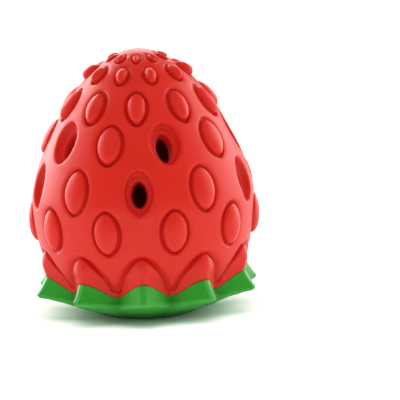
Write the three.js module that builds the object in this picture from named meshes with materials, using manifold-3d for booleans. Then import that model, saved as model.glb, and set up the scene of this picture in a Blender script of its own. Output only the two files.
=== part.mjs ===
// A hollow rubber treat toy shaped like a berry that stands on its leafy base.
// Millimetres, +Z up. The origin is the middle of the flat foot.
// Angles run round the Z axis from the front (-Y) towards +X, in radians.
import * as THREE from 'three';
import { mergeVertices } from 'three/addons/utils/BufferGeometryUtils.js';
import Module from 'manifold-3d';

const wasm = await Module();
wasm.setup();

// Clearance between pieces that meet, and how close two corners are to count as one
const GAP = 0.3;
const WELD = 0.0001;

// Body: an egg with its narrow end up
const BODY_TOP = 91.6;
const BODY_RADIUS = 38.25;
const WIDEST_HEIGHT = 42;
const SHOULDER_POWER = 1.29;
const NOSE_POWER = 0.53;
const LOWER_SWELL = 46.3;
const LOWER_POWER = 2.36;
const BODY_SIDES = 36;
const BODY_RINGS = 8;

// Turns the facets of revolved forms off the seeds' centre lines
const FACET_TURN = 0.031;

// Treat chamber and the mouth that the base plugs into
const WALL = 7.2;
const CROWN_WALL = 10;
const MOUTH_RADIUS = 20;
const MOUTH_HEIGHT = 15;
const CHAMBER_SIDES = 24;
const CHAMBER_RINGS = 6;

// Seeds: rows from the widest part of the berry to its nose, level 0 at the widest ring and 1 at the top
const SEEDS_PER_ROW = 10;
const SEED_ROWS = [
  { level: -0.179, width: 8.7, length: 14, rise: 2, sides: 10 },
  { level: 0.1, width: 9, length: 14.5, rise: 1.1, sides: 10, portEvery: 2 },
  { level: 0.415, width: 8.7, length: 13, rise: 1.5, sides: 10, portEvery: 2 },
  { level: 0.649, width: 6.6, length: 11.5, rise: 1.9, sides: 8 },
  { level: 0.849, width: 4.6, length: 7.8, rise: 1.9, sides: 6 },
  { level: 0.95, width: 1.8, length: 4.2, rise: 0.8, sides: 6 },
];
const SEED_POINT = 1.2;

// A moat runs round every seed
const MOAT_WIDTH = 1.05;
const MOAT_DEPTH = 1.3;
const MOAT_FLOOR_SCALE = 0.96;
const MOAT_MOUTH_SCALE = 1.17;

// A seed's crown: scale of its outline at the shoulder, and the shoulder's share of the rise
const SEED_SHOULDER_SCALE = 0.82;
const SEED_SHOULDER_RISE = 0.6;

// Ports: an oval recess as large as a seed's moat, with an oval throat into the chamber that flares at both ends
const PORT_RECESS = 2.6;
const PORT_WIDTH = 6.6;
const PORT_LENGTH = 10.8;
const PORT_SIDES = 12;
const PORT_DROP = 0.6;
const PORT_FLARE = 1;

// Leaves: a ten-pointed star, red above its wavy parting line and green below it
const LEAF_COUNT = 10;
const LEAF_NOSE = 1.4;
const LEAF_STEPS = [0.35, 0.65];
const SEPAL_RADIUS = 37.2;
const SEPAL_WIDTH = 14;
const SEPAL_TAPER = 0.5;
const SEPAL_FOOT_TAPER = 1.05;
const SEPAL_TOP_HEIGHT = 24.2;
const SEPAL_CREST_HEIGHT = 19.8;
const SEPAL_CREST_DROP = 1.8;
const SEPAL_LEVELS = [-0.2, 0.22, 0.46, 0.68, 0.86, 1];
const PARTING_TIP_HEIGHT = 15.1;
const PARTING_VALLEY_HEIGHT = 10;
const PARTING_FLAT_RADIUS = 26.5;

// Base: a shallow dome underneath, a leafy wall, and a spigot in the mouth of the body
const FOOT_RADIUS = 15;
const LEAF_TIP_RADIUS = 39.4;
const LEAF_TIP_TOP_RADIUS = 36.6;
const LEAF_TIP_HEIGHT = 8.7;
const VALLEY_RADIUS = 30;
const VALLEY_TOP_RADIUS = 29.2;
const VALLEY_HEIGHT = 6.4;
const LEAF_EDGE = 0.9;
const WEB_THICKNESS = 4.4;
const SPIGOT_WALL = 4.2;

// Filling slot: a cross with a round middle, which leaves four flaps
const SLOT_REACH = 12.4;
const SLIT_WIDTH = 3;
const SLOT_EYE_RADIUS = 4.5;
const FLAP_THICKNESS = 3;
const FLAP_LIFT = 0.7;
const FLAP_HINGE_RADIUS = 9.2;
const ROOT_SIDES = 8;
const EYE_SIDES = 32;
const FLAP_NAMES = ['flap_front_right', 'flap_back_right', 'flap_back_left', 'flap_front_left'];
const FIRST_FLAP_TURN = -Math.PI / 4;

const RUBBER_RED = new THREE.MeshStandardMaterial({ color: 0xd23a33, roughness: 0.55, metalness: 0 });
const RUBBER_GREEN = new THREE.MeshStandardMaterial({ color: 0x2a9f3d, roughness: 0.55, metalness: 0 });

// A point at a radius, an angle from the front and a height
function roundPoint(radius, angle, height) {
  return new THREE.Vector3(radius * Math.sin(angle), -radius * Math.cos(angle), height);
}

// A closed geometry as a solid, with shared corners merged and empty triangles left out
function toSolid(geometry) {
  geometry.deleteAttribute('normal');
  geometry.deleteAttribute('uv');
  const merged = mergeVertices(geometry, WELD);
  const corners = [];
  for (let i = 0; i < merged.index.count; i += 3) {
    const [a, b, c] = [0, 1, 2].map((k) => merged.index.getX(i + k));
    if (a !== b && b !== c && c !== a) corners.push(a, b, c);
  }
  const mesh = new wasm.Mesh({
    numProp: 3,
    vertProperties: new Float32Array(merged.attributes.position.array),
    triVerts: new Uint32Array(corners),
  });
  return new wasm.Manifold(mesh);
}

// A solid back as a geometry with flat facets
function toGeometry(solid) {
  const mesh = solid.getMesh();
  const geometry = new THREE.BufferGeometry();
  geometry.setAttribute('position', new THREE.BufferAttribute(new Float32Array(mesh.vertProperties), 3));
  geometry.setIndex(new THREE.BufferAttribute(new Uint32Array(mesh.triVerts), 1));
  geometry.computeVertexNormals();
  return geometry;
}

// Rings of equally many points, joined side to side; each end closes on the middle point given for it
function skinRings(rings, firstMiddle, lastMiddle) {
  const points = [...rings.flat(), firstMiddle, lastMiddle];
  const count = rings[0].length;
  const first = rings.length * count;
  const faces = [];
  for (let i = 0; i < count; i += 1) {
    const next = (i + 1) % count;
    faces.push(first, next, i);
    for (let k = 0; k + 1 < rings.length; k += 1) {
      const low = k * count;
      const high = low + count;
      faces.push(low + i, low + next, high + next, low + i, high + next, high + i);
    }
    faces.push(first + 1, first - count + i, first - count + next);
  }
  const geometry = new THREE.BufferGeometry().setFromPoints(points);
  geometry.setIndex(faces);
  return geometry;
}

// A profile of [radius, height] pairs that may change with the angle, carried once round the axis
function carryRound(angles, profile) {
  const outlines = angles.map((angle) => profile(angle));
  const rings = outlines[0].map((_, k) => {
    return angles.map((angle, i) => roundPoint(outlines[i][k][0], angle, outlines[i][k][1]));
  });
  const firstHeight = outlines[0][0][1];
  const lastHeight = outlines[0].at(-1)[1];
  return toSolid(skinRings(rings, new THREE.Vector3(0, 0, firstHeight), new THREE.Vector3(0, 0, lastHeight)));
}

// A lathe profile of [radius, height] pairs, from the axis at the bottom to the axis at the top
function turned(profile, sides) {
  const points = profile.map(([radius, height]) => new THREE.Vector2(radius, height));
  return toSolid(new THREE.LatheGeometry(points, sides).rotateX(Math.PI / 2).rotateZ(FACET_TURN));
}

// The egg: a blunt ellipse below its widest ring and a slimmer power curve above it
function eggRadius(height, radius, top, swell) {
  if (height < WIDEST_HEIGHT) {
    return radius * Math.sqrt(1 - ((WIDEST_HEIGHT - height) / swell) ** LOWER_POWER);
  }
  const rise = Math.min(1, (height - WIDEST_HEIGHT) / (top - WIDEST_HEIGHT));
  return radius * (1 - rise ** SHOULDER_POWER) ** NOSE_POWER;
}

function eggProfile(bottom, radius, top, swell, rings) {
  const profile = [[0, bottom]];
  for (let k = 0; k < rings / 2; k += 1) {
    const height = bottom + ((WIDEST_HEIGHT - bottom) * k) / (rings / 2);
    profile.push([eggRadius(height, radius, top, swell), height]);
  }
  for (let k = 0; k < rings; k += 1) {
    const height = WIDEST_HEIGHT + (top - WIDEST_HEIGHT) * Math.sin((Math.PI / 2) * (k / rings));
    profile.push([eggRadius(height, radius, top, swell), height]);
  }
  profile.push([0, top]);
  return profile;
}

function bodyRadius(height) {
  return eggRadius(height, BODY_RADIUS, BODY_TOP, LOWER_SWELL);
}

// Leaf share: 1 at a leaf's tip and 0 in the valley between two leaves, with a flat nose and flat flanks
function leafShare(angle) {
  const half = Math.PI / LEAF_COUNT;
  const turn = Math.abs(THREE.MathUtils.euclideanModulo(angle + half, 2 * half) - half);
  const nose = LEAF_NOSE / 2;
  const taper = (LEAF_TIP_RADIUS - VALLEY_RADIUS * Math.cos(half)) / (VALLEY_RADIUS * Math.sin(half) - nose);
  const flank = (LEAF_TIP_RADIUS + taper * nose) / (Math.cos(turn) + taper * Math.sin(turn));
  const radius = Math.min(LEAF_TIP_RADIUS / Math.cos(turn), flank);
  return (radius - VALLEY_RADIUS) / (LEAF_TIP_RADIUS - VALLEY_RADIUS);
}

// Angles at the corners of each leaf's nose, on its flanks and in the valleys
function leafAngles() {
  const half = Math.PI / LEAF_COUNT;
  const corner = Math.atan(LEAF_NOSE / 2 / LEAF_TIP_RADIUS);
  const side = [corner, ...LEAF_STEPS.map((step) => step * half)];
  const steps = [...side.map((turn) => -turn).reverse(), ...side, half];
  return Array.from({ length: LEAF_COUNT }, (_, leaf) => steps.map((turn) => 2 * leaf * half + turn)).flat();
}

const between = THREE.MathUtils.lerp;

// The parting surface between red and green: flat near the mouth, and rising outwards under each leaf tip
function partingRadius(angle) {
  return between(VALLEY_TOP_RADIUS, LEAF_TIP_TOP_RADIUS, leafShare(angle));
}

function partingHeight(angle, radius) {
  const wave = (1 + Math.cos(LEAF_COUNT * angle)) / 2;
  const rise = wave * (PARTING_TIP_HEIGHT - PARTING_VALLEY_HEIGHT);
  const run = partingRadius(angle) - PARTING_FLAT_RADIUS;
  return PARTING_VALLEY_HEIGHT + (rise * (radius - PARTING_FLAT_RADIUS)) / run;
}

// An almond outline, an ellipse drawn to a point at both ends, lofted through [scale, height] steps
function almondLoft(width, length, sides, point, steps) {
  const ring = (scale, height) => {
    return Array.from({ length: sides }, (_, i) => {
      const turn = (2 * Math.PI * i) / sides;
      const across = Math.sign(Math.sin(turn)) * Math.abs(Math.sin(turn)) ** point;
      return new THREE.Vector3((width / 2) * across * scale, (-length / 2) * Math.cos(turn) * scale, height);
    });
  };
  const rings = steps.map(([scale, height]) => ring(scale, height));
  return skinRings(rings, new THREE.Vector3(0, 0, steps[0][1]), new THREE.Vector3(0, 0, steps.at(-1)[1]));
}

// The frame on the body's surface: x round the berry, y up its side and z straight out
function surfaceFrame(angle, height) {
  const step = 0.01;
  const slope = (bodyRadius(height + step) - bodyRadius(height - step)) / (2 * step);
  const round = new THREE.Vector3(Math.cos(angle), Math.sin(angle), 0);
  const out = roundPoint(1, angle, -slope).normalize();
  const up = new THREE.Vector3().crossVectors(out, round);
  return new THREE.Matrix4().makeBasis(round, up, out).setPosition(roundPoint(bodyRadius(height), angle, height));
}

// Every seed place on the body, the rows staggered by half a pitch
function seedPlaces() {
  const pitch = (2 * Math.PI) / SEEDS_PER_ROW;
  return SEED_ROWS.flatMap((row, rowIndex) => {
    const height = WIDEST_HEIGHT + row.level * (BODY_TOP - WIDEST_HEIGHT);
    const stagger = rowIndex % 2 === 0 ? 0.5 : 0;
    return Array.from({ length: SEEDS_PER_ROW }, (_, i) => ({
      row,
      frame: surfaceFrame((i + stagger) * pitch, height),
      isPort: row.portEvery !== undefined && i % row.portEvery === 0,
    }));
  });
}

// The hollow that a seed or a port sits in
function moatCut({ row, frame, isPort }) {
  const rim = 2 * MOAT_WIDTH;
  const depth = isPort ? PORT_RECESS : MOAT_DEPTH;
  const steps = [[MOAT_FLOOR_SCALE, -depth], [MOAT_MOUTH_SCALE, row.width]];
  return toSolid(almondLoft(row.width + rim, row.length + rim, row.sides, 1, steps).applyMatrix4(frame));
}

// A seed: straight sides out of the moat and a domed crown that stands proud of the body
function seedSolid({ row, frame }) {
  const shoulder = [SEED_SHOULDER_SCALE, SEED_SHOULDER_RISE * row.rise];
  const steps = [[1, -2 * MOAT_DEPTH], [1, 0], shoulder, [0, row.rise]];
  const seed = almondLoft(row.width, row.length, row.sides, SEED_POINT, steps);
  return toSolid(seed.applyMatrix4(frame));
}

// A port's throat: an oval hole through the wall, eased at both ends and set a little below its recess's middle
function throatCut({ frame }) {
  const eased = 1 + (2 * PORT_FLARE) / PORT_WIDTH;
  const steps = [
    [eased, -2 * WALL],
    [eased, -WALL],
    [1, PORT_FLARE - WALL],
    [1, -PORT_RECESS - PORT_FLARE],
    [eased, -PORT_RECESS],
    [eased, 0],
  ];
  const throat = almondLoft(PORT_WIDTH, PORT_LENGTH, PORT_SIDES, 1, steps);
  return toSolid(throat.translate(0, -PORT_DROP, 0).applyMatrix4(frame));
}

// A red sepal over a green leaf: an arch that narrows upwards, with a blunt nose, sloping flanks and steep edges
function sepalSolid(angle) {
  const nose = LEAF_NOSE / 2;
  const foot = LEAF_TIP_TOP_RADIUS - GAP;
  const rings = SEPAL_LEVELS.map((level) => {
    const height = between(PARTING_VALLEY_HEIGHT, SEPAL_TOP_HEIGHT, level);
    const half = nose + (SEPAL_WIDTH / 2 - nose) * (1 - level ** 2);
    const rise = THREE.MathUtils.smoothstep(height, PARTING_TIP_HEIGHT, SEPAL_CREST_HEIGHT);
    const over = Math.max(0, (height - SEPAL_CREST_HEIGHT) / (SEPAL_TOP_HEIGHT - SEPAL_CREST_HEIGHT));
    const tip = between(foot, SEPAL_RADIUS, rise) - SEPAL_CREST_DROP * (1 - Math.sqrt(1 - over ** 2));
    const taper = between(SEPAL_FOOT_TAPER, SEPAL_TAPER, Math.max(0, level));
    const edge = tip - taper * (half - nose);
    const back = MOUTH_RADIUS;
    const outline = [[-half, back], [half, back], [half, edge], [nose, tip], [-nose, tip], [-half, edge]];
    return outline.map(([across, out]) => new THREE.Vector3(across, -out, height));
  });
  const middle = (ring) => ring[0].clone().lerp(ring[3], 0.5);
  return toSolid(skinRings(rings.map((r) => r.reverse()), middle(rings[0]), middle(rings.at(-1))).rotateZ(angle));
}

// Everything below the parting surface, to trim the red body to the green base
function belowParting() {
  const outside = 2 * BODY_RADIUS;
  return carryRound(leafAngles(), (angle) => [
    [outside, -BODY_TOP],
    [outside, partingHeight(angle, outside) + GAP],
    [partingRadius(angle), partingHeight(angle, partingRadius(angle)) + GAP],
    [PARTING_FLAT_RADIUS, PARTING_VALLEY_HEIGHT + GAP],
  ]);
}

// The treat chamber: the egg shrunk by its wall, down to a straight mouth
function chamber() {
  const radius = BODY_RADIUS - WALL;
  const drop = WIDEST_HEIGHT - MOUTH_HEIGHT;
  const swell = drop / (1 - (MOUTH_RADIUS / radius) ** 2) ** (1 / LOWER_POWER);
  const profile = eggProfile(MOUTH_HEIGHT, radius, BODY_TOP - CROWN_WALL, swell, CHAMBER_RINGS);
  const mouth = [[0, 0], [MOUTH_RADIUS, 0]];
  return turned([...mouth, ...profile.slice(1)], CHAMBER_SIDES);
}

function bodyShell() {
  const egg = eggProfile(PARTING_VALLEY_HEIGHT - GAP, BODY_RADIUS, BODY_TOP, LOWER_SWELL, BODY_RINGS);
  let body = turned(egg, BODY_SIDES);
  for (let leaf = 0; leaf < LEAF_COUNT; leaf += 1) body = body.add(sepalSolid((2 * Math.PI * leaf) / LEAF_COUNT));
  const places = seedPlaces();
  for (const place of places) body = body.subtract(moatCut(place));
  for (const place of places.filter((p) => !p.isPort)) body = body.add(seedSolid(place));
  body = body.subtract(chamber());
  for (const place of places.filter((p) => p.isPort)) body = body.subtract(throatCut(place));
  return body.subtract(belowParting());
}

// The opening in the web that the four flaps fill: an octagon that keeps a gap to each flap's round root
function flapOpening() {
  const reach = FLAP_HINGE_RADIUS + FLAP_THICKNESS / 2 + GAP;
  const square = (half) => new THREE.BoxGeometry(2 * half, 2 * half, 4 * WEB_THICKNESS);
  const diamond = toSolid(square(reach).rotateZ(Math.PI / 4));
  return diamond.intersect(toSolid(square(SLOT_REACH)));
}

function calyxBase() {
  const spigotRadius = MOUTH_RADIUS - GAP;
  const bore = spigotRadius - SPIGOT_WALL;
  const cup = carryRound(leafAngles(), (angle) => {
    const share = leafShare(angle);
    const lowRadius = between(VALLEY_RADIUS, LEAF_TIP_RADIUS, share);
    const lowHeight = between(VALLEY_HEIGHT, LEAF_TIP_HEIGHT, share);
    return [
      [FOOT_RADIUS, 0],
      [lowRadius - LEAF_EDGE, lowHeight],
      [lowRadius, lowHeight + LEAF_EDGE],
      [partingRadius(angle), partingHeight(angle, partingRadius(angle))],
      [PARTING_FLAT_RADIUS, PARTING_VALLEY_HEIGHT],
      [spigotRadius, PARTING_VALLEY_HEIGHT],
      [spigotRadius, MOUTH_HEIGHT],
      [bore, MOUTH_HEIGHT],
      [bore, WEB_THICKNESS],
    ];
  });
  return cup.subtract(flapOpening());
}

// A flap along +X, its hinge line parallel to Y: a plate with a half-round root, trimmed to the slits and the eye
function flapSolid() {
  const half = FLAP_THICKNESS / 2;
  const section = new THREE.Shape();
  section.moveTo(0, -half);
  section.lineTo(FLAP_HINGE_RADIUS, -half);
  section.absarc(FLAP_HINGE_RADIUS, 0, half, -Math.PI / 2, Math.PI / 2);
  section.lineTo(0, half);
  section.closePath();

  // The root stops where its round edge would meet the ends of the opening
  const endOfOpening = Math.SQRT2 * (SLOT_REACH - GAP);
  const rootLength = 2 * (endOfOpening - FLAP_HINGE_RADIUS - half);
  const plate = new THREE.ExtrudeGeometry(section, {
    depth: rootLength, bevelEnabled: false, curveSegments: ROOT_SIDES,
  });
  plate.translate(0, 0, -rootLength / 2).rotateX(Math.PI / 2);

  const slitShift = SLIT_WIDTH / Math.SQRT2;
  const far = 2 * FLAP_HINGE_RADIUS;
  const wedge = new THREE.Shape();
  wedge.moveTo(slitShift, 0);
  wedge.lineTo(slitShift + far, -far);
  wedge.lineTo(slitShift + far, far);
  wedge.closePath();
  const trim = new THREE.ExtrudeGeometry(wedge, { depth: 2 * FLAP_THICKNESS, bevelEnabled: false });
  trim.translate(0, 0, -FLAP_THICKNESS);

  const eye = new THREE.CylinderGeometry(SLOT_EYE_RADIUS, SLOT_EYE_RADIUS, 4 * FLAP_THICKNESS, EYE_SIDES);
  eye.rotateX(Math.PI / 2);
  return toSolid(plate).intersect(toSolid(trim)).subtract(toSolid(eye));
}

function addPiece(group, name, geometry, material) {
  const mesh = new THREE.Mesh(geometry, material);
  mesh.name = name;
  group.add(mesh);
  return mesh;
}

const toy = new THREE.Group();
addPiece(toy, 'body_shell', toGeometry(bodyShell()), RUBBER_RED);
addPiece(toy, 'calyx_base', toGeometry(calyxBase()), RUBBER_GREEN);
const flap = toGeometry(flapSolid());
FLAP_NAMES.forEach((name, i) => {
  const mesh = addPiece(toy, name, flap, RUBBER_GREEN);
  mesh.position.z = FLAP_LIFT + FLAP_THICKNESS / 2;
  mesh.rotation.z = FIRST_FLAP_TURN + (i * Math.PI) / 2;
});

export default toy;
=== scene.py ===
"""A hollow rubber treat toy shaped like a berry, standing on its leafy base, dressed over its solids.

Sizes are in millimetres until a mesh is made. Angles run round the upright axis from the front, which
is -Y, towards +X. The red shell is one closed surface: a cell for each seed or port, a band of sepals,
the wavy parting with the green base, and the hollow inside. Each rubber tongue of the filling slot is a
piece of its own.
"""

import math
from collections import namedtuple

import bmesh
import bpy
import numpy as np
from mathutils import Matrix, Vector


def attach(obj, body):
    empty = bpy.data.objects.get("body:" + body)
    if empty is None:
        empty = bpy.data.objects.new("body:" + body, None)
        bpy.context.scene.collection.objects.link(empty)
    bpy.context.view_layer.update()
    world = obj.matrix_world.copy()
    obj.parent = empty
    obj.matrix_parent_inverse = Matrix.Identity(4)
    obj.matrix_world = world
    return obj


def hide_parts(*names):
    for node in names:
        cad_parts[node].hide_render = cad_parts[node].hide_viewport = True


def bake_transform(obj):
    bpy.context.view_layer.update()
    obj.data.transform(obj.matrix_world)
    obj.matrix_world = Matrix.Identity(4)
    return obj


# A millimetre in metres, and in millimetres the weld's reach and the finest bevel
MM = 0.001
WELD = 0.004
FINE = 0.03

# The berry's side view: its nose, its widest ring, and the curves above and below the ring
NOSE_HEIGHT = 91.6
WIDEST_RADIUS = 38.4
WIDEST_HEIGHT = 42.0
SHOULDER_POWER = 1.29
NOSE_POWER = 0.53
LOWER_SWELL = 46.3
LOWER_POWER = 2.36
OUTLINE_FOOT = 5.0
LOWER_SAMPLES = 400
UPPER_SAMPLES = 1200

# How far the outline and its normals are eased to both sides, and at how many places
OUTLINE_EASE = 3.0
NORMAL_EASE = 4.0
EASE_SAMPLES = 9

# Leaves, sepals and the seeds of a row all stand at the same pitch
LEAVES = 10
PITCH = 2 * np.pi / LEAVES
HALF = PITCH / 2

# The hollow: its wall, its top, the mouth that the base plugs into, its rows of cells, their rings, and
# the steps of its bowl and its domed top
WALL = 7.2
HOLLOW_TOP = 81.6
MOUTH_RADIUS = 20.0
MOUTH_HEIGHT = 15.0
HOLLOW_ROWS = 4
HOLLOW_RINGS = np.array([1.0, 0.66, 0.33, 0.0])
BOWL_STEPS = 7

# Seed rows from the lowest to the nose, with the moat's width and depth, the depth of a crease along the
# seeds as a share of their rise, the first seed's turn, and the port that every second seed is, if any:
# its recess's reach round the seed's outline, and its throat's lean
Port = namedtuple("Port", "reach lean")
SeedRow = namedtuple("SeedRow", "height width length rise moat depth crease first port")
SEED_ROWS = [
    SeedRow(33.1, 8.4, 14.0, 1.85, 1.25, 1.3, 0.0, HALF, None),
    SeedRow(46.95, 8.5, 14.5, 1.25, 1.30, 1.3, 0.0, 0.0, Port(0.8, 0.0)),
    SeedRow(62.6, 8.2, 13.0, 1.65, 1.30, 1.3, 0.0, HALF, Port(1.25, 1.0)),
    SeedRow(74.2, 6.1, 11.4, 2.05, 1.30, 1.3, 0.0, 0.0, None),
    SeedRow(84.1, 3.9, 7.0, 2.15, 0.95, 1.0, 0.0, HALF, None),
    SeedRow(89.1, 2.3, 4.2, 0.90, 0.75, 0.9, 0.75, 0.0, None),
]

# The power that points a seed's ends
SEED_POINT = 1.2

# Waves between the rows: clearance from the moats, least swing, and those below the seeds and above them
CELL_CLEARANCE = 0.9
LEAST_SWING = 0.4
LOWEST_HEIGHT = 25.4
LOWEST_SWING = 1.5
NOSE_SWING = 0.3

# Segments of a cell's top or bottom edge and of its side
EDGE_CUTS = 24
SIDE_CUTS = 6

# Rings of the soft lip round a moat or recess: reach, most share of the way to the border, and drop
LIP_RINGS = np.array([[1.90, 0.80, 0.00], [1.20, 0.56, 0.04], [0.65, 0.34, 0.14], [0.25, 0.14, 0.30]])

# Rings across a moat, from its rim to the seed's edge, as shares of its width and depth
MOAT_RINGS = np.array([
    [1.0, 0.26], [0.86, 0.60], [0.66, 0.88], [0.44, 1.0], [0.20, 0.90], [0.06, 0.60], [0.0, 0.15],
])

# Rings over a seed, from its edge to its ridge, as shares of its width
CROWN_RINGS = np.array([0.010, 0.035, 0.08, 0.15, 0.24, 0.36, 0.50])

# How much a seed drops at both ends, and more at the upper one, as shares of its rise
CROWN_DROP = 0.4
CROWN_TILT = 0.25

# Where a crease starts on its way to the ridge, as a share of the seed's width
CREASE_START = 0.2

# Rings of a port's recess as shares of its reach and depth, its depth, and how much of that depth shows as
# painted shade
RECESS_RINGS = np.array([[1.0, 0.22], [0.88, 0.55], [0.72, 0.85], [0.38, 0.98]])
RECESS_DEPTH = 2.6
RECESS_SHADE_SHARE = 0.3

# Rings of a port's hole as offset from its edge and lift, its size, and its drop below the seed's middle
HOLE_RINGS = np.array([
    [1.35, -2.66], [0.80, -2.72], [0.36, -2.95], [0.10, -3.40], [0.00, -4.00],
    [-0.20, -5.20], [-0.25, -6.30], [-0.15, -6.80], [0.10, -7.08], [0.60, -7.20],
])
HOLE_WIDTH = 6.0
HOLE_LENGTH = 10.6
HOLE_DROP = 0.5

# Rings of the nose over the highest seeds, as shares of the way to its top
NOSE_RINGS = np.array([0.0, 0.2, 0.4, 0.6, 0.8, 0.93, 1.0])

# Columns across one leaf, from its middle to the valley beside it
LEAF_COLUMNS = np.radians([
    0, 0.7, 1.2, 1.6, 2.0, 2.5, 3.1, 4.1, 5.3, 6.6, 7.9,
    9.1, 10.1, 11.1, 12.1, 13.1, 14.1, 15.1, 16.1, 17.1, 18.0,
])

# The nose of a leaf or sepal: half its width, and how it rounds into the flanks
LEAF_NOSE = 1.1
NOSE_ROUNDING = 0.5

# Red sepals: an arch with a blunt nose and sloping flanks
SEPAL_FOOT_RADIUS = 35.9
SEPAL_RADIUS = 36.95
SEPAL_TAPER = 0.5
SEPAL_FOOT_TAPER = 1.05
SEPAL_HALF_WIDTH = 7.0
SEPAL_TOP_ROUNDING = 1.5
SEPAL_TOP = 24.2
SEPAL_CREST = 19.8
SEPAL_CREST_DROP = 1.5

# The least value under the root of a sepal's outline, and the places across it where it is sampled
FLANK_END = 0.02
FLANK_SAMPLES = np.linspace(0, 12, 601)

# The soft groove round a sepal: its depth, how far outside the outline it starts and is full, and how
# far below the seeds' border it fades
GROOVE_DEPTH = 1.45
GROOVE_REACH = 2.7
GROOVE_END = 0.2
GROOVE_FADE = 3.6

# The step up to a sepal's face, as distances inside its outline
FACE_STEP_LOW = -0.30
FACE_STEP_HIGH = 0.36

# Rows of the sepals' band: shares up a face, distances inside the outline, and shares up to the seeds
FACE_ROWS = np.array([0.02, 0.05, 0.25, 0.42, 0.6, 0.8])
EDGE_ROWS = np.array([
    1.5, 0.95, 0.62, 0.42, 0.28, 0.14, 0.0, -0.14, -0.3, -0.55, -0.95, -1.45, -2.0, -2.6, -3.3,
])
ABOVE_ROWS = np.array([0.3, 0.65, 1.0])

# How much the edge rows spread, and how far they keep from each other, the parting line and the seeds
EDGE_SPREAD = 1.06
ROW_SPACING = 0.16
PARTING_ROOM = 1.0
SEED_ROOM = 0.5

# The parting line between red and green, a cosine wave, with the rounding of both rims
PARTING_TIP = 15.1
PARTING_VALLEY = 10.0
PARTING_FLAT_RADIUS = 26.5
PARTING_GAP = 0.06
RIM_ROUNDING = 0.12

# Green leaves: their tips and valleys, and the hollow of their outer faces
LEAF_TIP_RADIUS = 39.35
LEAF_TIP_HEIGHT = 8.3
LEAF_HOLLOW = 0.25
VALLEY_RADIUS = 30.0
VALLEY_ROUNDING = 2.4
VALLEY_HEIGHT = 6.4

# The leaves' lower edge curls up from the dome: its reach, its rise and its steps, then rows up a face
CURL_REACH = 1.3
CURL_RISE = 1.2
CURL_STEPS = 6
LEAF_ROWS = np.array([0.12, 0.3, 0.5, 0.7, 0.88, 0.97])

# The spigot and its bore, and the web that the tongues are cut from
SPIGOT_RADIUS = 19.7
SPIGOT_BEVEL = 0.5
BORE_RADIUS = 15.5
WEB_TOP = 4.4

# The filling slot: a cross with a round middle between four tongues, at degrees from +X towards +Y
WINDOW_RADIUS = 12.4
SLIT_HALF = 1.5
EYE_RADIUS = 4.5
TONGUE_LOW = 0.7
TONGUE_HIGH = 3.7
TONGUE_EDGE = 0.5
TONGUES = [("front_right", -45), ("back_right", 45), ("back_left", 135), ("front_left", 225)]

# Stations along a tongue, then of its rounded tip: radius past the round middle, and inset. Then how much
# of the inset its edges lose, and the steps of its corners and flats
TONGUE_STATIONS = np.array([11.8, 11.0, 10.2, 9.6, 9.0, 8.4, 7.8, 7.2, 6.6, 6.0, 5.5])
TIP_STATIONS = np.array([[0.5, 0.0], [0.25, 0.07], [0.07, 0.25], [0.0, 0.5], [0.0, 1.5]])
TIP_EDGE_SHARE = 0.5
CORNER_STEPS = 5
FLAT_STEPS = 9

# The shallow dome under the base, nearly a cone out of the flat foot, as radius and height, and its rows
FOOT_RADIUS = 15.0
DOME_PROFILE = np.array([
    [FOOT_RADIUS, 0.0], [16.0, 0.25], [18.0, 1.05], [20.0, 1.85], [25.0, 3.6],
    [29.0, 5.3], [32.0, 6.6], [36.0, 7.75], [39.6, 8.2],
])
DOME_ROWS = np.linspace(0.03, 1, 10)

# The base from the top of its window down and out over the rounded step to the foot, as radius and height
FOOT_PROFILE = np.array([
    [WINDOW_RADIUS, TONGUE_HIGH], [WINDOW_RADIUS, TONGUE_LOW + FINE], [WINDOW_RADIUS + FINE, TONGUE_LOW],
    [12.9, 0.66], [13.25, 0.42], [13.5, 0.16], [13.8, 0.02], [14.2, 0.0], [FOOT_RADIUS, 0.0],
])

# The base from the parting in over the spigot, down its bore and over the web to the window
BORE_PROFILE = np.array([
    [PARTING_FLAT_RADIUS, PARTING_VALLEY], [SPIGOT_RADIUS, PARTING_VALLEY],
    [SPIGOT_RADIUS, MOUTH_HEIGHT - SPIGOT_BEVEL], [SPIGOT_RADIUS - SPIGOT_BEVEL, MOUTH_HEIGHT],
    [BORE_RADIUS + SPIGOT_BEVEL, MOUTH_HEIGHT], [BORE_RADIUS, MOUTH_HEIGHT - SPIGOT_BEVEL],
    [BORE_RADIUS, WEB_TOP + 1], [BORE_RADIUS - 0.3, WEB_TOP + 0.3], [BORE_RADIUS - 1, WEB_TOP],
    [13.4, WEB_TOP - 0.1], [12.9, 3.9], [WINDOW_RADIUS + FINE, TONGUE_HIGH], [WINDOW_RADIUS, TONGUE_HIGH],
])

# Where the shade painted into the green valleys ends, as a share of the way to a leaf's tip
VALLEY_SHADE_END = 0.45

# Noises in the rubber: scale per metre, detail and roughness
PITS = (2600.0, 3.0, 0.6)
SWELL = (150.0, 1.0, 0.4)
MOTTLE = (90.0, 3.0, 0.55)
RUB = (420.0, 4.0, 0.6)

# Tones of the rubber by its lift in metres, the first a shade painted where it lies deep, the second a
# bloom where it stands proud: where one starts and is full, then its least and its most
PAINTED_SHADE_TONE = (-0.0002, -0.0014, 0.0, 0.7)
PROUD_TONE = (0.0003, 0.0018, 0.0, 0.30)

# How the noises thin the bloom and add to it, and what they and the moats add to the roughness
RUBBED_BLOOM = (0.35, 0.7, 0.2, 1.0)
MOTTLED_BLOOM = (0.4, 0.75, 0.0, 0.12)
RUB_ROUGHNESS = 0.10
SUNK_ROUGHNESS = 0.12

# The Mix node's colour sockets, by number
MIX_FIRST = 6
MIX_SECOND = 7
MIX_RESULT = 2

# The bump of the moulded skin, its distance in metres, and its pits and swell
BUMP_STRENGTH = 0.25
BUMP_DISTANCE = 0.00012
PIT_HEIGHT = 1.0
SWELL_HEIGHT = 2.0

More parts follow.
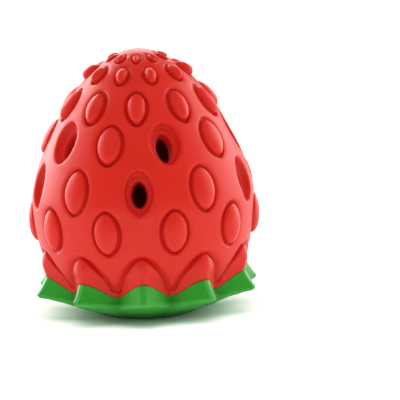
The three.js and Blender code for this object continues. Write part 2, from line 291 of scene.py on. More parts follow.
# The room, in metres: its light on the toy, and the paper floor's half side, tone and roughness
ROOM_LIGHT = 0.24
FLOOR_HALF = 2.0
PAPER_TONE = 0.93
PAPER_ROUGHNESS = 0.9

# Lights in metres and watts: name, place, aim, size and power
SIDE_BOXES = [
    ("left box", (-0.42, 0.08, 0.17), (0, 0, 0.045), (0.36, 0.5), 1.25),
    ("right box", (0.42, 0.08, 0.17), (0, 0, 0.045), (0.36, 0.5), 1.4),
]
TOP_BOX = ("top box", (0, -0.27, 0.75), (0, 0, 0.04), (0.7, 0.7), 3.7)
SHEEN_BOXES = [
    ("left sheen", (-0.52, 0.45, 0.30), (0, 0, 0.05), (0.5, 0.6), 7.6),
    ("right sheen", (0.54, 0.46, 0.24), (0, 0, 0.05), (0.45, 0.5), 3.4),
    ("top sheen", (-0.1, 0.80, 0.52), (0, 0, 0.05), (0.7, 0.4), 6.2),
]
FLOOR_WASH = ("floor wash", (0, 0, 1.0), (0, 0, 0), (6.0, 6.0), 95.0)

# The camera: its turns in degrees, then in metres its distance, its aim and its moves to the right and up
CAMERA_AZIMUTH = 1.59
CAMERA_ELEVATION = 8.89
CAMERA_ROLL = 2.45
CAMERA_DISTANCE = 1.65
CAMERA_AIM = (0, 0, 0.0427)
CAMERA_RIGHT = 0.01968
CAMERA_UP = -0.00376

# The camera's lens and sensor in millimetres, and its nearest and farthest sight in metres
LENS = 430.65
SENSOR = 36
NEAREST = 0.1
FARTHEST = 20

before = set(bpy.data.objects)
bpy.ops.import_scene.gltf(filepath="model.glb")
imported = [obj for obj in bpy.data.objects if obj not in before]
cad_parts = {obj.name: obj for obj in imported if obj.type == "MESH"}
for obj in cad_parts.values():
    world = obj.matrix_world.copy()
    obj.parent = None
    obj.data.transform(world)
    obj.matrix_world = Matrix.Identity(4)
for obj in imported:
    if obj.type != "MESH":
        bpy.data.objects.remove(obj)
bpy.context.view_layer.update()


def smooth_step(low, high, value):
    """Cubic step from 0 at low to 1 at high."""
    t = np.clip((value - low) / (high - low), 0, 1)
    return t * t * (3 - 2 * t)


def soft_min(a, b, size):
    """The smaller of two values, rounded where they cross, by a quarter of the size at most."""
    h = np.clip(0.5 + 0.5 * (b - a) / size, 0, 1)
    return b + (a - b) * h - size * h * (1 - h)


def eased(value, along, reach):
    """A curve's values, each the mean over a reach to both sides that shrinks to nothing at its far end."""
    reach = np.minimum(reach, (along[-1] - along) / 2)
    spread = np.linspace(-1, 1, EASE_SAMPLES)[:, None]
    return np.interp(along + spread * reach, along, value).mean(axis=0)


def around(radius, angle, height):
    """Points at a radius from the axis, an angle from the front and a height."""
    radius, angle, height = np.broadcast_arrays(radius, angle, height)
    return np.stack([radius * np.sin(angle), -radius * np.cos(angle), height], axis=-1)


def berry_outline():
    """The berry's side view as radius, height, outward normal and length along it, closely sampled.
    Below its widest ring r = R sqrt(1 - ((H - z) / swell)^n), and above it r = R (1 - t^p)^q with
    t = (z - H) / (top - H). The two are eased into each other, and the normals too."""
    low = np.linspace(OUTLINE_FOOT, WIDEST_HEIGHT, LOWER_SAMPLES, endpoint=False)
    low_radius = WIDEST_RADIUS * np.sqrt(1 - ((WIDEST_HEIGHT - low) / LOWER_SWELL) ** LOWER_POWER)
    share = np.sin(np.linspace(0, np.pi / 2, UPPER_SAMPLES))
    high_radius = WIDEST_RADIUS * np.maximum(0, 1 - share**SHOULDER_POWER) ** NOSE_POWER
    radius = np.concatenate([low_radius, high_radius])
    height = np.concatenate([low, WIDEST_HEIGHT + (NOSE_HEIGHT - WIDEST_HEIGHT) * share])
    radius = eased(radius, height, OUTLINE_EASE)
    step = np.hypot(np.diff(radius), np.diff(height))
    along = np.concatenate([[0], np.cumsum(step)])
    out = eased(np.gradient(height, along), along, NORMAL_EASE)
    up = eased(-np.gradient(radius, along), along, NORMAL_EASE)
    size = np.hypot(out, up)
    return radius, height, out / size, up / size, along


RADIUS, HEIGHT, OUT, UP, ALONG = berry_outline()


def along_at(height):
    """Length along the outline at a height."""
    return np.interp(height, HEIGHT, ALONG)


def on_berry(angle, along, lift):
    """Points on the berry at an angle and a length along its outline, lifted along the outward normal."""
    radius = np.interp(along, ALONG, RADIUS) + lift * np.interp(along, ALONG, OUT)
    height = np.interp(along, ALONG, HEIGHT) + lift * np.interp(along, ALONG, UP)
    return around(radius, angle, height)


def row_waves():
    """Lengths along the outline of the rows' middles, and the means and swings of the waves round them.
    The waves are cosines below, between and above the rows. A swing between two rows is half of what they
    overlap by, plus a clearance."""
    middle = np.array([along_at(row.height) for row in SEED_ROWS])
    reach = np.array([row.length / 2 + row.moat for row in SEED_ROWS])
    high = middle + reach
    low = middle - reach
    mean = (high[:-1] + low[1:]) / 2
    swing = np.maximum(LEAST_SWING, (high[:-1] - low[1:]) / 2 + CELL_CLEARANCE)
    mean = np.concatenate([[along_at(LOWEST_HEIGHT)], mean, [high[-1] + CELL_CLEARANCE]])
    swing = np.concatenate([[LOWEST_SWING], swing, [NOSE_SWING]])
    return middle, mean, swing


ROW_ALONG, WAVE_MEAN, WAVE_SWING = row_waves()
EVEN_CUTS = np.linspace(-HALF, HALF, EDGE_CUTS + 1)
LEAF_CUTS = np.concatenate([LEAF_COLUMNS - HALF, HALF - LEAF_COLUMNS[-2::-1]])


class Surface:
    """Rings of points joined into quads, gathered patch by patch and then welded into one mesh.
    Each point keeps a lift, mostly its lift over the plain form, which the rubber's tone reads to paint
    shade where it lies deep and a bloom where it stands proud."""

    def __init__(self):
        self.points = []
        self.quads = []
        self.lifts = []
        self.count = 0

    def add(self, rings, lift):
        """Joins rings[..., k, i] to rings[..., k + 1, i], each ring closed on itself."""
        shape = rings.shape[:-1]
        index = np.arange(np.prod(shape)).reshape(shape) + self.count
        after = np.roll(index, -1, axis=-1)
        quad = [index[..., :-1, :], after[..., :-1, :], after[..., 1:, :], index[..., 1:, :]]
        self.quads.append(np.stack(quad, axis=-1).reshape(-1, 4))
        self.points.append(rings.reshape(-1, 3))
        self.lifts.append(np.broadcast_to(lift, shape).reshape(-1))
        self.count += index.size

    def to_object(self, name):
        """Makes the mesh in metres, welds borders and poles, turns the faces outwards and smooths them."""
        points = np.concatenate(self.points) * MM
        quads = np.concatenate(self.quads)
        mesh = bpy.data.meshes.new(name)
        mesh.from_pydata(points, [], quads)
        lift = mesh.attributes.new("lift", "FLOAT", "POINT")
        lift.data.foreach_set("value", np.concatenate(self.lifts).astype(np.float32))
        welded = bmesh.new()
        welded.from_mesh(mesh)
        bmesh.ops.remove_doubles(welded, verts=welded.verts, dist=WELD * MM)
        bmesh.ops.recalc_face_normals(welded, faces=welded.faces)
        welded.to_mesh(mesh)
        welded.free()
        mesh.shade_smooth()
        piece = bpy.data.objects.new(name, mesh)
        bpy.context.scene.collection.objects.link(piece)
        return piece


def cell_border(row):
    """One cell's border as angle from its middle and length along the outline, once round.
    Its sides stand half a pitch from the middle, and its top and bottom are the waves between the rows."""
    low_cuts = LEAF_CUTS if row == 0 else EVEN_CUTS
    low = WAVE_MEAN[row] - WAVE_SWING[row] * np.cos(LEAVES * low_cuts)
    high = WAVE_MEAN[row + 1] + WAVE_SWING[row + 1] * np.cos(LEAVES * EVEN_CUTS)
    side = np.linspace(low[-1], high[-1], SIDE_CUTS + 1)
    edge = np.full(SIDE_CUTS, HALF)
    angle = np.concatenate([edge, EVEN_CUTS[:0:-1], -edge, low_cuts[:-1]])
    along = np.concatenate([side[:-1], high[:0:-1], side[:0:-1], low[:-1]])
    return angle, along


def cell_rings(row, width, length, drop):
    """Rings about a cell's middle as angle and length along the outline: border, soft lip, then almonds.
    An almond is u = w / 2 |sin t|^p, v = drop - l / 2 cos t, at the angle t of the border's own point.
    A ring of the lip stands out from the first almond by its reach, or by its share of the way to the
    border where that is less."""
    angle, along = cell_border(row)
    across = np.interp(along, ALONG, RADIUS) * angle
    up = along - ROW_ALONG[row]
    turn = np.arctan2(across / width[0], -up / length[0])
    sine = np.sign(np.sin(turn)) * np.abs(np.sin(turn)) ** SEED_POINT
    u = width[:, None] / 2 * sine
    v = drop[:, None] - length[:, None] / 2 * np.cos(turn)
    room = np.hypot(across - u[0], up - v[0])
    share = np.minimum(LIP_RINGS[:, :1] / room, LIP_RINGS[:, 1:2])
    u = np.concatenate([across[None], u[0] + share * (across - u[0]), u])
    v = np.concatenate([up[None], v[0] + share * (up - v[0]), v]) + ROW_ALONG[row]
    return u / np.interp(v, ALONG, RADIUS), v


def place(middles, angle, along, lift):
    """A cell's rings set round the berry at each of the middles."""
    return on_berry(middles[:, None, None] + angle, along, lift)


def lip_lift(depth):
    """Lifts of the border and of the lip's rings, whose drops are shares of half the moat's depth."""
    return np.concatenate([[0], -LIP_RINGS[:, 2] * depth / 2])


def add_seeds(shell, row, middles):
    """Seeds: from the cell's border over the lip, down into the moat, and up over the crown.
    Across, the crown is an ellipse, rise sqrt(1 - (1 - 2 s)^2) at a share s of the width, with a cubic
    step down into the crease. Its ends drop with v^2 and with v."""
    seed = SEED_ROWS[row]
    offset = np.concatenate([seed.moat * MOAT_RINGS[:, 0], -seed.width * CROWN_RINGS])
    angle, along = cell_rings(row, seed.width + 2 * offset, seed.length + 2 * offset, 0 * offset)
    crown = seed.rise * np.sqrt(1 - (1 - 2 * CROWN_RINGS) ** 2)
    crown = crown * (1 - seed.crease * smooth_step(CREASE_START, CROWN_RINGS[-1], CROWN_RINGS))
    lift = np.concatenate([lip_lift(seed.depth), -seed.depth * MOAT_RINGS[:, 1], crown])[:, None]
    end = np.clip((along - ROW_ALONG[row]) / (seed.length / 2), -1, 1)
    lift = np.where(lift > 0, lift * (1 - CROWN_DROP * end**2 - CROWN_TILT * end), lift)
    # The lift paints shade into the moat and lets the crown take a bloom
    shell.add(place(middles, angle, along, lift), lift)


def add_ports(shell, row, middles):
    """Ports: from the border into the recess, over the hole's rounded edge, and through the wall.
    A throat leans down on its way in, in proportion to its depth, and ends on the hollow's own border."""
    seed = SEED_ROWS[row]
    offset = seed.port.reach * RECESS_RINGS[:, 0]
    hole_offset, hole_lift = HOLE_RINGS.T
    width = np.concatenate([seed.width + 2 * offset, HOLE_WIDTH + 2 * hole_offset])
    length = np.concatenate([seed.length + 2 * offset, HOLE_LENGTH + 2 * hole_offset])
    inwards = (hole_lift - hole_lift[0]) / (hole_lift[-1] - hole_lift[0])
    drop = np.concatenate([0 * offset, -HOLE_DROP - seed.port.lean * inwards])
    angle, along = cell_rings(row, width, length, drop)
    angle = np.concatenate([angle, angle[:1]])
    along = np.concatenate([along, along[:1]])
    recess_lift = -RECESS_DEPTH * RECESS_RINGS[:, 1]
    lift = np.concatenate([lip_lift(seed.depth), recess_lift, hole_lift, [-WALL]])[:, None]
    # Only a share of the lift paints shade into the recess and the throat
    shell.add(place(middles, angle, along, lift), RECESS_SHADE_SHARE * lift)


def add_hollow_cells(shell, row, middles):
    """The hollow's wall behind a seed: the same border, closed on the cell's middle."""
    angle, along = cell_border(row)
    share = HOLLOW_RINGS[:, None]
    angle = share * angle
    along = ROW_ALONG[row] + share * (along - ROW_ALONG[row])
    # The whole wall's lift paints the hollow's inside in the full shade colour
    shell.add(place(middles, angle, along, -WALL), -WALL)


def leaf_angles():
    """Columns all round the toy, closest together at the leaves' noses and edges."""
    one = np.concatenate([-LEAF_COLUMNS[:0:-1], LEAF_COLUMNS[:-1]])
    return (np.arange(LEAVES)[:, None] * PITCH + one).reshape(-1)


def from_leaf(angle):
    """Angle from the nearest leaf's middle."""
    return (angle + HALF) % PITCH - HALF


def parting_height(angle):
    """The parting line: a cosine wave, high at the leaf tips and low in the valleys."""
    return PARTING_VALLEY + (PARTING_TIP - PARTING_VALLEY) * (1 + np.cos(LEAVES * angle)) / 2


def sepal_top(across):
    """Height of a sepal's outline at a distance from its middle, z = foot + rise sqrt(1 - a / half width),
    where a is |across| with a rounded point, and the outline's stretch, sqrt(1 + slope^2)."""
    a = np.hypot(across, SEPAL_TOP_ROUNDING) - SEPAL_TOP_ROUNDING
    root = np.sqrt(np.maximum(FLANK_END, 1 - a / SEPAL_HALF_WIDTH))
    rise = SEPAL_TOP - PARTING_VALLEY
    slope = rise / (2 * SEPAL_HALF_WIDTH * root) * across / np.hypot(across, SEPAL_TOP_ROUNDING)
    return PARTING_VALLEY + rise * root, np.hypot(1, slope)


def inside_sepal(across, height):
    """Distance from a sepal's outline, the least to its samples, positive inside and negative outside."""
    edge, _ = sepal_top(FLANK_SAMPLES)
    top, _ = sepal_top(across)
    away = np.hypot(across[..., None] - FLANK_SAMPLES, height[..., None] - edge).min(axis=-1)
    return np.where(height < top, away, -away)


def facets(angle, tip, taper):
    """Radius of a leaf's flat faces, rounded between: X = tip on its nose, and on its flanks
    X = tip - taper (|u| - nose), at a distance u to the side."""
    turn = np.abs(from_leaf(angle))
    flank = (tip + taper * LEAF_NOSE) / (np.cos(turn) + taper * np.sin(turn))
    return soft_min(tip / np.cos(turn), flank, NOSE_ROUNDING)


def sepal_radius(angle, height):
    """Radius of a sepal's face, whose tip leans out to the crest by a cubic step and falls back above it
    in a quarter of an ellipse. Its taper changes evenly from the foot to the top."""
    over = np.clip((height - SEPAL_CREST) / (SEPAL_TOP - SEPAL_CREST), 0, 1)
    crest = smooth_step(PARTING_TIP, SEPAL_CREST, height)
    tip = SEPAL_FOOT_RADIUS + (SEPAL_RADIUS - SEPAL_FOOT_RADIUS) * crest
    tip = tip - SEPAL_CREST_DROP * (1 - np.sqrt(1 - over**2))
    level = np.clip((height - PARTING_VALLEY) / (SEPAL_TOP - PARTING_VALLEY), 0, 1)
    return facets(angle, tip, SEPAL_FOOT_TAPER + (SEPAL_TAPER - SEPAL_FOOT_TAPER) * level)


def seed_border(angle):
    """The lower border of the lowest seeds' cells, as length along the outline."""
    return WAVE_MEAN[0] + WAVE_SWING[0] * np.cos(LEAVES * angle)


def seed_border_height(angle):
    """The height of that border."""
    return np.interp(seed_border(angle), ALONG, HEIGHT)


def red_radius(angle, height):
    """Radius of the shell below the seeds: the berry, sunk in a groove round the sepal, raised to its face.
    Both are cubic steps of the distance from the sepal's outline. The groove fades at the seeds' border."""
    berry = np.interp(height, HEIGHT, RADIUS)
    inside = inside_sepal(np.abs(berry * from_leaf(angle)), height)
    fade = smooth_step(0, GROOVE_FADE, seed_border_height(angle) - height)
    ground = berry - GROOVE_DEPTH * fade * smooth_step(-GROOVE_REACH, -GROOVE_END, inside)
    face = np.maximum(ground, sepal_radius(angle, height))
    return ground + (face - ground) * smooth_step(FACE_STEP_LOW, FACE_STEP_HIGH, inside)


def add_sepals(shell):
    """The band of sepals: rows that follow the sepals' outlines, from the seeds down to the parting line.
    It gives back the columns and the points of the lower rim."""
    angle = leaf_angles()
    ceiling = seed_border_height(angle)
    floor = parting_height(angle) + PARTING_GAP
    top, stretch = sepal_top(np.interp(floor, HEIGHT, RADIUS) * from_leaf(angle) * EDGE_SPREAD)
    edges = top - EDGE_ROWS[:, None] * stretch
    step = np.arange(len(edges))[:, None]
    lowest = floor + PARTING_ROOM + ROW_SPACING * step
    highest = ceiling - SEED_ROOM - ROW_SPACING * (len(edges) - step)
    edges = np.clip(edges, lowest, highest)
    face = floor + FACE_ROWS[:, None] * (edges[0] - floor)
    above = edges[-1] + ABOVE_ROWS[:, None] * (ceiling - edges[-1])
    height = np.concatenate([face, edges, above])
    radius = red_radius(angle, height)
    # The lift paints shade into the groove round each sepal
    lift = radius - np.interp(height, HEIGHT, RADIUS)
    radius[0] -= RIM_ROUNDING
    radius[1] -= FINE
    rows = around(radius, angle, height)
    shell.add(rows, lift)
    return angle, rows[0]


def add_mouth(shell, angle, rim):
    """From the parting line in along the ramp to the mouth, up it, and out over the hollow's bowl.
    The bowl is a quarter of an ellipse from the mouth's top to the hollow's lowest cells."""
    radius = np.hypot(rim[:, 0], rim[:, 1])
    shelf = PARTING_VALLEY + PARTING_GAP
    inner = on_berry(angle, seed_border(angle), -WALL)
    bowl_radius = np.hypot(inner[:, 0], inner[:, 1])
    bowl_height = inner[:, 2]
    turn = np.linspace(np.pi / 2, 0, BOWL_STEPS)[:, None]
    bowl_r = bowl_radius + (MOUTH_RADIUS - bowl_radius) * (1 - np.cos(turn))
    bowl_z = bowl_height + (MOUTH_HEIGHT - bowl_height) * np.sin(turn)
    ones = np.ones_like(angle)
    r = np.concatenate([[radius, PARTING_FLAT_RADIUS * ones, MOUTH_RADIUS * ones], bowl_r])
    z = np.concatenate([[rim[:, 2], shelf * ones, shelf * ones], bowl_z])
    # The whole wall's lift paints the mouth and bowl in the full shade colour
    shell.add(around(r, angle, z), -WALL)


def add_caps(shell):
    """The nose over the highest seeds, and the hollow's domed top over its highest row of cells.
    The nose follows the outline, and the dome's side view is a quarter of an ellipse."""
    column = (np.arange(LEAVES)[:, None] * PITCH + EVEN_CUTS[:-1]).reshape(-1)
    edge = WAVE_MEAN[-1] + WAVE_SWING[-1] * np.cos(LEAVES * column)
    along = edge + NOSE_RINGS[:, None] * (ALONG[-1] - edge)
    shell.add(on_berry(SEED_ROWS[-1].first + column, along, 0.0), 0.0)
    turn = SEED_ROWS[HOLLOW_ROWS - 1].first + column
    edge = WAVE_MEAN[HOLLOW_ROWS] + WAVE_SWING[HOLLOW_ROWS] * np.cos(LEAVES * column)
    rim = on_berry(turn, edge, -WALL)
    radius = np.hypot(rim[:, 0], rim[:, 1])
    height = rim[:, 2]
    swing = np.linspace(0, np.pi / 2, BOWL_STEPS)[:, None]
    dome = around(radius * np.cos(swing), turn, height + (HOLLOW_TOP - height) * np.sin(swing))
    # The whole wall's lift paints the hollow's dome in the full shade colour
    shell.add(dome, -WALL)


def berry_shell():
    """The red shell as one closed surface."""
    shell = Surface()
    for row, seed in enumerate(SEED_ROWS):
        middles = seed.first + np.arange(LEAVES) * PITCH
        seeds = middles[1::2] if seed.port else middles
        add_seeds(shell, row, seeds)
        if seed.port:
            add_ports(shell, row, middles[::2])
        if row < HOLLOW_ROWS:
            add_hollow_cells(shell, row, seeds)
    add_caps(shell)
    angle, rim = add_sepals(shell)
    add_mouth(shell, angle, rim)
    return shell.to_object("berry_shell")


def leaf_share(angle):
    """1 at a leaf's tip and about 0 in a valley, along flat faces that meet in the rounded valley."""
    valley_x = VALLEY_RADIUS * np.cos(HALF)
    valley_u = VALLEY_RADIUS * np.sin(HALF)
    edge = facets(angle, LEAF_TIP_RADIUS, (LEAF_TIP_RADIUS - valley_x) / (valley_u - LEAF_NOSE))
    edge = -soft_min(-edge, VALLEY_ROUNDING / 4 - VALLEY_RADIUS, VALLEY_ROUNDING)
    return (edge - VALLEY_RADIUS) / (LEAF_TIP_RADIUS - VALLEY_RADIUS)


def calyx_base():
    """The green base: one profile of radius and height that changes with the leaf share, carried round.
    It runs over the foot and the dome, curls up in a quarter of an ellipse, rises up the leaf's face,
    which is hollow as a sine is, and goes in over the parting and down the bore."""
    angle = leaf_angles()
    share = leaf_share(angle)
    ones = np.ones_like(angle)
    tip_r = VALLEY_RADIUS + (LEAF_TIP_RADIUS - VALLEY_RADIUS) * share
    tip_z = VALLEY_HEIGHT + (LEAF_TIP_HEIGHT - VALLEY_HEIGHT) * share + CURL_RISE
    top_z = parting_height(angle)
    top_r = red_radius(angle, top_z + PARTING_GAP)
    dome_r = FOOT_RADIUS + DOME_ROWS[:, None] * (tip_r - CURL_REACH - FOOT_RADIUS)
    dome_z = np.interp(dome_r, DOME_PROFILE[:, 0], DOME_PROFILE[:, 1])
    curl = np.linspace(0, np.pi / 2, CURL_STEPS)[1:, None]
    curl_r = dome_r[-1] + (tip_r - dome_r[-1]) * np.sin(curl)
    curl_z = dome_z[-1] + (tip_z - dome_z[-1]) * (1 - np.cos(curl))
    up = LEAF_ROWS[:, None]
    face_r = curl_r[-1] + (top_r - curl_r[-1]) * up - LEAF_HOLLOW * np.sin(np.pi * up)
    face_z = curl_z[-1] + (top_z - curl_z[-1]) * up
    rim_r = np.stack([top_r - FINE, top_r - RIM_ROUNDING])
    rim_z = np.stack([top_z - FINE, top_z])
    r = [FOOT_PROFILE[:, :1] * ones, dome_r, curl_r, face_r, rim_r, BORE_PROFILE[:, :1] * ones]
    z = [FOOT_PROFILE[:, 1:] * ones, dome_z, curl_z, face_z, rim_z, BORE_PROFILE[:, 1:] * ones]
    # Painted shade in the valleys between the leaves, darkest at a valley and gone where the share reaches
    # its end
    tone_and_shade = -smooth_step(VALLEY_SHADE_END, 0.0, share)
    base = Surface()
    base.add(around(np.concatenate(r), angle, np.concatenate(z)), tone_and_shade)
    return base.to_object("calyx")


def rounded_sections(half, thick, edge):
    """Rounded rectangles as points across and up, from half widths, half heights and the edges' radii.
    Each corner is a quarter of a circle, and the faces above and below are cut evenly."""
    half = half[:, None]
    thick = thick[:, None]
    edge = edge[:, None]
    corner = np.linspace(0, np.pi / 2, CORNER_STEPS)
    across = []
    up = []
    for quarter, (x, z) in enumerate([(1, 1), (-1, 1), (-1, -1), (1, -1)]):
        turn = corner + quarter * np.pi / 2
        across.append(x * (half - edge) + edge * np.cos(turn))
        up.append(z * (thick - edge) + edge * np.sin(turn))
        if x == z:
            flat = np.linspace(1, -1, FLAT_STEPS)[1:-1] * x
            across.append((half - edge) * flat)
            up.append(np.broadcast_to(z * thick, across[-1].shape))
    return np.concatenate(across, axis=1), np.concatenate(up, axis=1)


def tongue(name, middle):
    """One rubber tongue: a rounded rectangle carried along the radius, as wide as the slits leave it.
    At a radius it spans the arc between two lines that stand half a slit from the axes. Its root closes
    on a point, and its tip on a line."""
    root = np.array([WINDOW_RADIUS, WINDOW_RADIUS - FINE])
    radius = np.concatenate([root, TONGUE_STATIONS, EYE_RADIUS + TIP_STATIONS[:, 0]])
    inset = np.concatenate([0 * root, 0 * TONGUE_STATIONS, TIP_STATIONS[:, 1]])
    half = radius * (np.pi / 4 - np.arcsin(SLIT_HALF / radius)) - inset
    thick = (TONGUE_HIGH - TONGUE_LOW) / 2 - inset
    edge = np.maximum(0, TONGUE_EDGE - TIP_EDGE_SHARE * inset)
    across, up = rounded_sections(half, thick, edge)
    level = (TONGUE_LOW + TONGUE_HIGH) / 2
    out = radius[:, None]
    angle = middle + across / out
    rings = np.stack([out * np.cos(angle), out * np.sin(angle), level + up], axis=-1)
    point = np.array([WINDOW_RADIUS * np.cos(middle), WINDOW_RADIUS * np.sin(middle), level])
    flap = Surface()
    flap.add(np.concatenate([np.broadcast_to(point, rings[:1].shape), rings]), 0.0)
    return flap.to_object("tongue_" + name)


def node_group(name, inputs, outputs):
    """An empty shader node group with its sockets, and its two end nodes."""
    group = bpy.data.node_groups.new(name, "ShaderNodeTree")
    for label, kind in inputs:
        group.interface.new_socket(label, in_out="INPUT", socket_type=kind)
    for label, kind in outputs:
        group.interface.new_socket(label, in_out="OUTPUT", socket_type=kind)
    return group, group.nodes.new("NodeGroupInput"), group.nodes.new("NodeGroupOutput")


def math_node(tree, operation, *values):
    """A Math node of some values, each a socket or a number."""
    node = tree.nodes.new("ShaderNodeMath")
    node.operation = operation
    for socket, value in zip(node.inputs, values):
        if isinstance(value, bpy.types.NodeSocket):
            tree.links.new(value, socket)
        else:
            socket.default_value = value
    return node.outputs[0]


def ramp_node(tree, value, low, high, to_low, to_high):
    """A smooth Map Range of one value."""
    node = tree.nodes.new("ShaderNodeMapRange")
    node.interpolation_type = "SMOOTHSTEP"
    tree.links.new(value, node.inputs["Value"])
    for label, number in (("From Min", low), ("From Max", high), ("To Min", to_low), ("To Max", to_high)):
        node.inputs[label].default_value = number
    return node.outputs["Result"]


def noise_node(tree, vector, scale, detail, roughness):
    """A noise's value at a scale per metre."""
    node = tree.nodes.new("ShaderNodeTexNoise")
    tree.links.new(vector, node.inputs["Vector"])
    node.inputs["Scale"].default_value = scale
    node.inputs["Detail"].default_value = detail
    node.inputs["Roughness"].default_value = roughness
    return node.outputs["Fac"]


def mix_node(tree, factor, first, second):
    """A colour mix of two sockets."""
    node = tree.nodes.new("ShaderNodeMix")
    node.data_type = "RGBA"
    tree.links.new(factor, node.inputs["Factor"])
    tree.links.new(first, node.inputs[MIX_FIRST])
    tree.links.new(second, node.inputs[MIX_SECOND])
    return node.outputs[MIX_RESULT]


def moulded_skin():
    """The faint skin that a matt mould leaves: fine pits on a slow swell, as a height."""
    group, start, end = node_group(
        "moulded skin",
        [("Position", "NodeSocketVector"), ("Pits", "NodeSocketFloat"), ("Swell", "NodeSocketFloat")],
        [("Height", "NodeSocketFloat")],
    )
    pits = noise_node(group, start.outputs["Position"], *PITS)
    swell = noise_node(group, start.outputs["Position"], *SWELL)
    pits = math_node(group, "MULTIPLY", pits, start.outputs["Pits"])
    swell = math_node(group, "MULTIPLY", swell, start.outputs["Swell"])
    group.links.new(math_node(group, "ADD", pits, swell), end.inputs["Height"])
    return group


def rubber_tone_and_shade():
    """Colour and roughness of handled rubber: a darker colour painted as shade into the moats, grooves and
    hollow, a paler bloom on what stands proud, and a slow mottle."""
    group, start, end = node_group(
        "rubber tone and shade",
        [("Position", "NodeSocketVector"), ("Lift", "NodeSocketFloat"), ("Body", "NodeSocketColor"),
         ("Painted shade", "NodeSocketColor"), ("Bloom", "NodeSocketColor"), ("Roughness", "NodeSocketFloat")],
        [("Colour", "NodeSocketColor"), ("Roughness", "NodeSocketFloat")],
    )
    # Painted shade: the deeper the rubber lies, the more of the darker shade colour it shows
    painted_shade_mask = ramp_node(group, start.outputs["Lift"], *PAINTED_SHADE_TONE)
    proud = ramp_node(group, start.outputs["Lift"], *PROUD_TONE)
    mottle = noise_node(group, start.outputs["Position"], *MOTTLE)
    rub = noise_node(group, start.outputs["Position"], *RUB)
    bloom = math_node(group, "MULTIPLY", proud, ramp_node(group, rub, *RUBBED_BLOOM))
    bloom = math_node(group, "ADD", bloom, ramp_node(group, mottle, *MOTTLED_BLOOM))
    colour = mix_node(group, bloom, start.outputs["Body"], start.outputs["Bloom"])
    colour = mix_node(group, painted_shade_mask, colour, start.outputs["Painted shade"])
    group.links.new(colour, end.inputs["Colour"])
    dull = math_node(group, "MULTIPLY_ADD", rub, RUB_ROUGHNESS, -RUB_ROUGHNESS / 2)
    rough = math_node(group, "ADD", start.outputs["Roughness"], dull)
    rough = math_node(group, "ADD", rough, math_node(group, "MULTIPLY", painted_shade_mask, SUNK_ROUGHNESS))
    group.links.new(rough, end.inputs["Roughness"])
    return group


SKIN = moulded_skin()
TONE_AND_SHADE = rubber_tone_and_shade()


def rubber(name, body, painted_shade, bloom, roughness, gloss):
    """Satin moulded rubber in one colour, with a darker colour painted into its hollows as shade."""
    material = bpy.data.materials.new(name)
    material.use_nodes = True
    tree = material.node_tree
    shader = tree.nodes["Principled BSDF"]
    position = tree.nodes.new("ShaderNodeTexCoord").outputs["Object"]
    lift = tree.nodes.new("ShaderNodeAttribute")
    lift.attribute_name = "lift"
    metres = math_node(tree, "MULTIPLY", lift.outputs["Fac"], MM)
    tone_and_shade = tree.nodes.new("ShaderNodeGroup")
    tone_and_shade.node_tree = TONE_AND_SHADE
    tree.links.new(position, tone_and_shade.inputs["Position"])
    tree.links.new(metres, tone_and_shade.inputs["Lift"])
    for label, colour in (("Body", body), ("Painted shade", painted_shade), ("Bloom", bloom)):
        tone_and_shade.inputs[label].default_value = (*colour, 1)
    tone_and_shade.inputs["Roughness"].default_value = roughness
    skin = tree.nodes.new("ShaderNodeGroup")
    skin.node_tree = SKIN
    tree.links.new(position, skin.inputs["Position"])
    skin.inputs["Pits"].default_value = PIT_HEIGHT
    skin.inputs["Swell"].default_value = SWELL_HEIGHT
    bump = tree.nodes.new("ShaderNodeBump")
    bump.inputs["Strength"].default_value = BUMP_STRENGTH
    bump.inputs["Distance"].default_value = BUMP_DISTANCE
    tree.links.new(skin.outputs["Height"], bump.inputs["Height"])
    tree.links.new(bump.outputs["Normal"], shader.inputs["Normal"])
    tree.links.new(tone_and_shade.outputs["Colour"], shader.inputs["Base Color"])
    tree.links.new(tone_and_shade.outputs["Roughness"], shader.inputs["Roughness"])
    shader.inputs["Specular IOR Level"].default_value = gloss
    return material


def soft_box(name, place_at, aim, size, watts):
    """An area light at a place, turned to its aim."""
    light = bpy.data.lights.new(name, "AREA")
    light.shape = "RECTANGLE"
    light.size, light.size_y = size
    light.energy = watts
    box = bpy.data.objects.new(name, light)
    box.location = place_at
    box.rotation_euler = (Vector(aim) - Vector(place_at)).to_track_quat("-Z", "Y").to_euler()
    bpy.context.scene.collection.objects.link(box)
    return box


def white_room():
    """A white backdrop for the camera that lights the toy only softly."""
    world = bpy.data.worlds.new("white room")
    world.use_nodes = True
    tree = world.node_tree
    seen = tree.nodes.new("ShaderNodeLightPath").outputs["Is Camera Ray"]
    backdrop = tree.nodes["Background"]
    backdrop.inputs["Color"].default_value = (1, 1, 1, 1)
    tree.links.new(ramp_node(tree, seen, 0.0, 1.0, ROOM_LIGHT, 1.0), backdrop.inputs["Strength"])
    bpy.context.scene.world = world


def paper_floor():
    """A plain pale floor of matt paper."""
    paper = bpy.data.materials.new("pale paper")
    paper.use_nodes = True
    shader = paper.node_tree.nodes["Principled BSDF"]
    shader.inputs["Base Color"].default_value = (PAPER_TONE, PAPER_TONE, PAPER_TONE, 1)
    shader.inputs["Roughness"].default_value = PAPER_ROUGHNESS
    shader.inputs["Specular IOR Level"].default_value = 0.0
    corners = [(FLOOR_HALF * x, FLOOR_HALF * y, 0) for x, y in ((-1, -1), (1, -1), (1, 1), (-1, 1))]
    floor_mesh = bpy.data.meshes.new("floor")
    floor_mesh.from_pydata(corners, [], [(0, 1, 2, 3)])
    floor_mesh.materials.append(paper)
    floor = bpy.data.objects.new("floor", floor_mesh)
    bpy.context.scene.collection.objects.link(floor)
    return floor


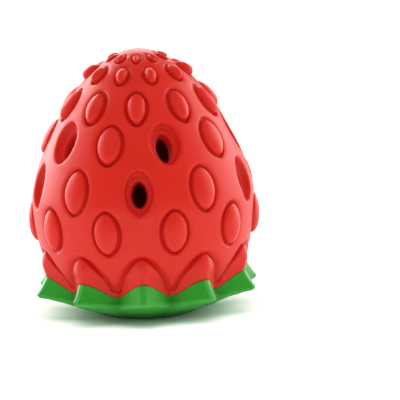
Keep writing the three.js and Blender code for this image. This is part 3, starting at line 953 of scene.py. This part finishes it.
def studio():
    """The room and its floor, soft boxes at both sides and above, boxes that only show as a sheen on the
    rubber, and a wash of light that only the floor receives."""
    bpy.context.scene.view_settings.view_transform = "Standard"
    white_room()
    floor = paper_floor()
    for box in SIDE_BOXES:
        soft_box(*box)
    soft_box(*TOP_BOX).visible_glossy = False
    for box in SHEEN_BOXES:
        soft_box(*box).visible_diffuse = False
    washed = bpy.data.collections.new("washed")
    washed.objects.link(floor)
    soft_box(*FLOOR_WASH).light_linking.receiver_collection = washed


def photo_camera():
    """A long lens a little above the toy, rolled slightly, with the toy left of the picture's middle."""
    azimuth = math.radians(CAMERA_AZIMUTH)
    elevation = math.radians(CAMERA_ELEVATION)
    roll = math.radians(CAMERA_ROLL)
    flat = math.cos(elevation)
    back = Vector((math.sin(azimuth) * flat, -math.cos(azimuth) * flat, math.sin(elevation)))
    level = Vector((math.cos(azimuth), math.sin(azimuth), 0))
    rise = back.cross(level)
    right = math.cos(roll) * level - math.sin(roll) * rise
    up = math.sin(roll) * level + math.cos(roll) * rise
    data = bpy.data.cameras.new("camera")
    data.sensor_width = SENSOR
    data.lens = LENS
    data.clip_start = NEAREST
    data.clip_end = FARTHEST
    camera = bpy.data.objects.new("camera", data)
    spot = Vector(CAMERA_AIM) + CAMERA_DISTANCE * back + CAMERA_RIGHT * right + CAMERA_UP * up
    turn = Matrix((right, up, back)).transposed().to_4x4()
    camera.matrix_world = Matrix.Translation(spot) @ turn
    bpy.context.scene.collection.objects.link(camera)
    bpy.context.scene.camera = camera


photo_camera()
studio()

RED = rubber(
    "red rubber",
    body=(0.60, 0.017, 0.008),
    # The darker red painted in as shade where the rubber lies deep
    painted_shade=(0.51, 0.004, 0.003),
    bloom=(0.63, 0.022, 0.012),
    roughness=0.44,
    gloss=0.2,
)
GREEN = rubber(
    "green rubber",
    body=(0.022, 0.31, 0.018),
    # The darker green painted in as shade where the rubber lies deep
    painted_shade=(0.008, 0.14, 0.006),
    bloom=(0.04, 0.38, 0.035),
    roughness=0.42,
    gloss=0.32,
)

shell = berry_shell()
shell.data.materials.append(RED)
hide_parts("body_shell")
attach(shell, "toy")

calyx = calyx_base()
calyx.data.materials.append(GREEN)
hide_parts("calyx_base")
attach(calyx, "toy")

for side, degrees in TONGUES:
    diagonal = math.radians(degrees)
    flap = tongue(side, diagonal)
    flap.data.materials.append(GREEN)
    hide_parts("flap_" + side)
    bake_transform(flap)
